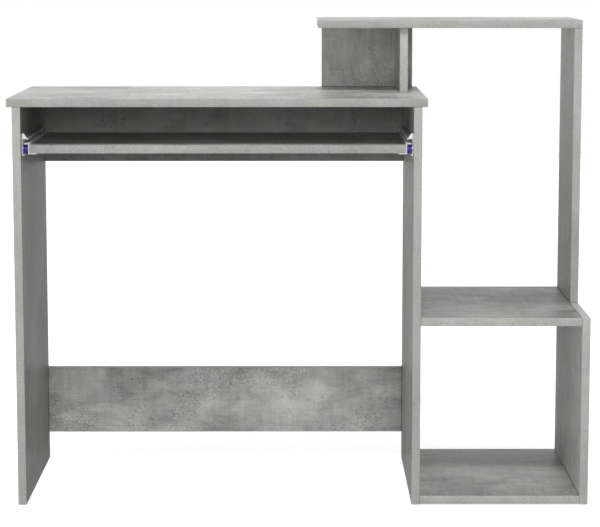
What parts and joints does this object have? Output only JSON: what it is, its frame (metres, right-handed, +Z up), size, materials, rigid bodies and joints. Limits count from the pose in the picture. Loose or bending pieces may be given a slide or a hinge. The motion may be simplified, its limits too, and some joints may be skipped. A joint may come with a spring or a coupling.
{
  "type": "computer desk with keyboard tray",
  "caption": "Computer desk with a pull-out keyboard tray on roller slides, an open side tower of shelves and a raised top shelf with a niche.",
  "frame": {"origin": "middle of the desk's footprint on the floor", "axes": "+X right along the desk's length, +Y from the front edge to the back, +Z up"},
  "size_m": [1.06, 0.4, 0.886],
  "materials": {
    "board": "matt melamine with a cast-concrete pattern",
    "edge_band": "matt concrete-pattern edge band",
    "slide_steel": "white powder coat",
    "roller": "satin violet-blue nylon",
    "rear_roller": "natural white nylon",
    "zinc": "bright zinc plating",
    "dowel": "plain beech",
    "glide": "dark brown polyethylene"
  },
  "bodies": {
    "desk": {"desktop": "board", "desktop_edge_band": "edge_band", "left_leg_panel": "board", "left_leg_edge_band": "edge_band", "centre_panel": "board", "centre_panel_edge_band": "edge_band", "lower_side_panel": "board", "lower_side_edge_band": "edge_band", "upper_side_panel": "board", "upper_side_edge_band": "edge_band", "rear_apron": "board", "rear_apron_edge_band": "edge_band", "modesty_panel": "board", "modesty_edge_band": "edge_band", "middle_shelf": "board", "middle_shelf_edge_band": "edge_band", "bottom_shelf": "board", "bottom_shelf_edge_band": "edge_band", "top_shelf": "board", "top_shelf_edge_band": "edge_band", "niche_back_panel": "board", "niche_back_edge_band": "edge_band", "niche_divider": "board", "niche_divider_edge_band": "edge_band", "left_cabinet_rail": "slide_steel", "right_cabinet_rail": "slide_steel", "cabinet_rail_rivets": "zinc", "cabinet_rail_screws": "zinc", "cam_locks": "zinc", "cam_bolts": "zinc", "wood_dowels": "dowel", "floor_glides": "glide", "glide_nails": "zinc"},
    "tray": {"keyboard_tray": "board", "keyboard_tray_edge_band": "edge_band", "left_tray_rail": "slide_steel", "right_tray_rail": "slide_steel", "tray_rail_rivets": "zinc", "tray_rail_screws": "zinc"},
    "left_front_roller": {"left_front_roller": "roller"},
    "right_front_roller": {"right_front_roller": "roller"},
    "left_rear_roller": {"left_rear_roller": "rear_roller"},
    "right_rear_roller": {"right_rear_roller": "rear_roller"}
  },
  "joints": [
    {"name": "tray_slide", "type": "slide", "parent": "desk", "child": "tray", "axis": [0, -1, 0], "range_m": [0, 0.225]},
    {"name": "left_front_roller_spin", "type": "hinge", "parent": "desk", "child": "left_front_roller", "pos_m": [-0.4986, -0.167, 0.6575], "axis": [1, 0, 0], "range_deg": [0, 1520]},
    {"name": "right_front_roller_spin", "type": "hinge", "parent": "desk", "child": "right_front_roller", "pos_m": [0.1986, -0.167, 0.6575], "axis": [1, 0, 0], "range_deg": [0, 1520]},
    {"name": "left_rear_roller_spin", "type": "hinge", "parent": "tray", "child": "left_rear_roller", "pos_m": [-0.4996, 0.102, 0.6655], "axis": [1, 0, 0], "range_deg": [0, 1520]},
    {"name": "right_rear_roller_spin", "type": "hinge", "parent": "tray", "child": "right_rear_roller", "pos_m": [0.1996, 0.102, 0.6655], "axis": [1, 0, 0], "range_deg": [0, 1520]}
  ],
  "couplings": [
    {"joint": "left_front_roller_spin", "follows": "tray_slide", "rad_per_m": 117.65},
    {"joint": "right_front_roller_spin", "follows": "tray_slide", "rad_per_m": 117.65},
    {"joint": "left_rear_roller_spin", "follows": "tray_slide", "rad_per_m": 117.65},
    {"joint": "right_rear_roller_spin", "follows": "tray_slide", "rad_per_m": 117.65}
  ]
}
